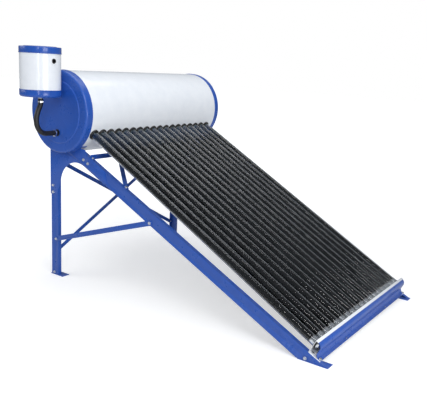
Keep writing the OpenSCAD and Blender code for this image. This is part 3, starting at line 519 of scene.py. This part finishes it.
def add_cap_hems():
    """The rolled edge of each end cap where it grips the casing"""
    hem_r = 0.0016
    stands_out = 0.0002
    across = (0, math.radians(90), 0)
    for side, cap in (("left", "left_cap"), ("right", "right_cap")):
        low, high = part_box(cap)
        hem_x = high.x - hem_r if side == "left" else low.x + hem_r
        ring_bead(side + "_cap_hem", (hem_x, tank_axis.y, tank_axis.z), across,
                  (high.z - low.z) / 2 + stands_out, hem_r, "blue_coat")


def add_supply_tank_hems():
    """The rounded lips of the supply tank's lid and base ring"""
    hem_r = 0.0022
    set_in = 0.0004
    lid_low, lid_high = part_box("feeder_lid")
    base_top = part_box("feeder_base")[1].z
    centre = (lid_low + lid_high) / 2
    rim_r = (lid_high.x - lid_low.x) / 2 - set_in
    ring_bead("lid_hem", (centre.x, centre.y, lid_low.z + hem_r), (0, 0, 0), rim_r, hem_r,
              "blue_plastic", "supply_lid")
    ring_bead("base_hem", (centre.x, centre.y, base_top - hem_r), (0, 0, 0), rim_r, hem_r, "blue_plastic")


add_cap_hems()
add_supply_tank_hems()


def add_casing_seam():
    """The folded lock seam that closes the casing, low on its back"""
    around = math.radians(150)
    end_gap = 0.036
    seam_width, seam_height, seam_edge = 0.009, 0.0022, 0.0008
    length = (casing_high.x - end_gap) - (casing_low.x + end_gap)
    place = (0, tank_axis.y + casing_r * math.sin(around), tank_axis.z + casing_r * math.cos(around))
    bpy.ops.object.select_all(action="DESELECT")
    bpy.ops.mesh.primitive_cube_add(size=1, location=place, rotation=(-around, 0, 0),
                                    scale=(length, seam_width, seam_height))
    piece = bpy.context.object
    bpy.ops.object.transform_apply(location=True, rotation=True, scale=True)
    apply_modifier(piece, "BEVEL", width=seam_edge, segments=3, limit_method="ANGLE")
    bpy.ops.object.shade_smooth_by_angle(angle=SMOOTH_UNDER)
    belongs(piece, "casing_seam", MATERIALS["white_coat"])


add_casing_seam()


def add_getter_films():
    """A mirrored cup inside every tube's tail"""
    glass_and_gap = 0.0019
    film_thickness = 0.0002
    above_centre = 0.0001
    bpy.ops.object.select_all(action="DESELECT")
    bpy.ops.mesh.primitive_uv_sphere_add(segments=32, ring_count=16, radius=tube_r - glass_and_gap)
    piece = bpy.context.object
    bpy.ops.object.mode_set(mode="EDIT")
    bpy.ops.mesh.select_all(action="SELECT")
    bpy.ops.mesh.bisect(plane_co=(0, 0, above_centre), plane_no=(0, 0, 1),
                        clear_outer=True, clear_inner=False)
    bpy.ops.mesh.extrude_region_move(TRANSFORM_OT_translate={"value": (0, 0, GETTER_LEN - tube_r)})
    bpy.ops.mesh.select_all(action="SELECT")
    bpy.ops.mesh.normals_make_consistent(inside=False)
    bpy.ops.object.mode_set(mode="OBJECT")
    apply_modifier(piece, "SOLIDIFY", thickness=film_thickness, offset=-1)
    piece.rotation_euler = (-tube_dir).to_track_quat("Z", "X").to_euler()
    piece.location = ((tube_low.x + tube_high.x) / 2, tip_y, tip_z)
    bpy.ops.object.transform_apply(location=True, rotation=True, scale=True)
    apply_modifier(piece, "ARRAY", count=len(tube_names), use_relative_offset=False,
                   use_constant_offset=True, constant_offset_displace=(tube_pitch, 0, 0))
    bpy.ops.object.shade_smooth_by_angle(angle=math.radians(50))
    belongs(piece, "getter_films", getter_mirror("getter_mirror"))


add_getter_films()


def add_clamp_screws():
    """The hex head of each hose clamp's worm screw, beside its housing"""
    hose_r, height_over_hose = 0.015, 0.004
    reach = hose_r + height_over_hose
    drop_below_base = 0.027
    out_from_casing = 0.039
    head_r, head_len, head_edge = 0.0042, 0.006, 0.0005
    head_offset = 0.0085
    base_low, base_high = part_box("feeder_base")
    inlet_low, inlet_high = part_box("inlet_pipe")
    drop_x = (base_low.x + base_high.x) / 2
    inlet_z = (inlet_low.z + inlet_high.z) / 2
    turn = math.radians(-120)
    upper = Vector((drop_x + reach * math.cos(turn), tank_axis.y + reach * math.sin(turn),
                    base_low.z - drop_below_base))
    lower = Vector((casing_low.x - out_from_casing, tank_axis.y, inlet_z - reach))
    heads = []
    for place, direction in ((upper, Vector((-math.sin(turn), math.cos(turn), 0))),
                             (lower, Vector((0, 1, 0)))):
        bpy.ops.object.select_all(action="DESELECT")
        bpy.ops.mesh.primitive_cylinder_add(vertices=6, radius=head_r, depth=head_len)
        head = bpy.context.object
        head.rotation_euler = direction.to_track_quat("Z", "Y").to_euler()
        head.location = place + direction * head_offset
        bpy.ops.object.transform_apply(location=True, rotation=True, scale=True)
        apply_modifier(head, "BEVEL", width=head_edge, segments=2, limit_method="ANGLE")
        heads.append(head)
    select_only(heads[0])
    heads[1].select_set(True)
    bpy.ops.object.join()
    bpy.ops.object.shade_smooth_by_angle(angle=SMOOTH_UNDER)
    belongs(heads[0], "clamp_screws", MATERIALS["zinc"])


add_clamp_screws()

# ---------------------------------------------------------------- floor, light and camera

FLOOR_SIZE = 60
GLOW_NEAR, GLOW_FAR = 0.42, 0.95
GLOW_FROM, GLOW_TO = 1.5, 5.0

AIM = (0, 0, 0.6)
LAMPS = (  # name, place, what it points at, width, height, power
    ("soft_key", (-3.2, -3.4, 4.2), AIM, 2.6, 2.6, 130),
    ("strip_near_camera", (-4.4, -2.3, 2.1), (-0.7, 0.8, 1.2), 0.35, 2.2, 28),
    ("overhead", (0.5, 0.5, 5.0), AIM, 4.0, 4.0, 105),
    ("low_front_fill", (-1.9, -5.0, 0.9), (-0.2, 0.8, 1.0), 2.6, 1.4, 80),
    ("rear_fill", (-2.6, 3.6, 2.4), (0, 0.8, 0.7), 2.2, 2.2, 40),
)
SKY_LIGHT = (0.24, 0.255, 0.28)
SKY_SEEN = (1.0, 1.0, 1.0)

CAMERA_PLACE = (-3.0337, -1.9892, 1.3341)
CAMERA_YAW, CAMERA_PITCH, CAMERA_ROLL = (math.radians(angle) for angle in (34.872, -12.566, 2.983))
CAMERA_LENS = 51.31
CAMERA_SENSOR = 36.0
CAMERA_SHIFT = (0.001, 0.003)


def lay_floor():
    """A pale floor that glows for the camera alone, more the further it is from the heater"""
    bpy.ops.object.select_all(action="DESELECT")
    bpy.ops.mesh.primitive_plane_add(size=FLOOR_SIZE, location=(0, 0, 0))
    floor = bpy.context.object
    floor.name = "studio_floor"
    material, tree, shader = new_material("studio_floor", (0.8, 0.8, 0.8), 0.8, Specular_IOR_Level=0.1)
    place = tree.nodes.new("ShaderNodeTexCoord").outputs["Object"]
    away = add(tree, "ShaderNodeVectorMath", {"operation": "LENGTH"}, _0=place).outputs["Value"]
    glow = limits(tree, away, GLOW_FROM, GLOW_TO, GLOW_NEAR, GLOW_FAR)
    seen = tree.nodes.new("ShaderNodeLightPath").outputs["Is Camera Ray"]
    shader.inputs["Emission Color"].default_value = (1, 1, 1, 1)
    tree.links.new(math_node(tree, "MULTIPLY", glow, seen), shader.inputs["Emission Strength"])
    floor.data.materials.append(material)


def hang_lamp(name, place, target, width, height, power):
    """A soft lamp turned to its target, not seen through the glass"""
    lamp = bpy.data.lights.new(name, "AREA")
    lamp.shape = "RECTANGLE"
    lamp.size = width
    lamp.size_y = height
    lamp.energy = power
    holder = bpy.data.objects.new(name, lamp)
    holder.location = place
    holder.rotation_euler = (Vector(target) - Vector(place)).to_track_quat("-Z", "Y").to_euler()
    holder.visible_transmission = False
    bpy.context.scene.collection.objects.link(holder)


def hang_sky():
    """White behind the heater for the camera, dim and cool for everything it lights"""
    world = bpy.data.worlds.new("studio")
    bpy.context.scene.world = world
    world.use_nodes = True
    sky = world.node_tree
    seen = sky.nodes.new("ShaderNodeLightPath").outputs["Is Camera Ray"]
    background = sky.nodes["Background"]
    sky.links.new(mix_colour(sky, seen, SKY_LIGHT, SKY_SEEN), background.inputs["Color"])
    background.inputs["Strength"].default_value = 1.0


def set_camera():
    yaw, pitch, roll = CAMERA_YAW, CAMERA_PITCH, CAMERA_ROLL
    forward = Vector((math.cos(pitch) * math.cos(yaw), math.cos(pitch) * math.sin(yaw), math.sin(pitch)))
    level_right = forward.cross(Vector((0, 0, 1))).normalized()
    level_up = level_right.cross(forward)
    right = level_right * math.cos(roll) + level_up * math.sin(roll)
    up = level_up * math.cos(roll) - level_right * math.sin(roll)
    lens = bpy.data.cameras.new("camera")
    lens.sensor_width = CAMERA_SENSOR
    lens.lens = CAMERA_LENS
    lens.shift_x, lens.shift_y = CAMERA_SHIFT
    camera = bpy.data.objects.new("camera", lens)
    turned = Matrix((right, up, -forward)).transposed().to_4x4()
    camera.matrix_world = Matrix.Translation(CAMERA_PLACE) @ turned
    bpy.context.scene.collection.objects.link(camera)
    bpy.context.scene.camera = camera


lay_floor()
for lamp_row in LAMPS:
    hang_lamp(*lamp_row)
hang_sky()
set_camera()
bpy.context.scene.view_settings.view_transform = "Standard"
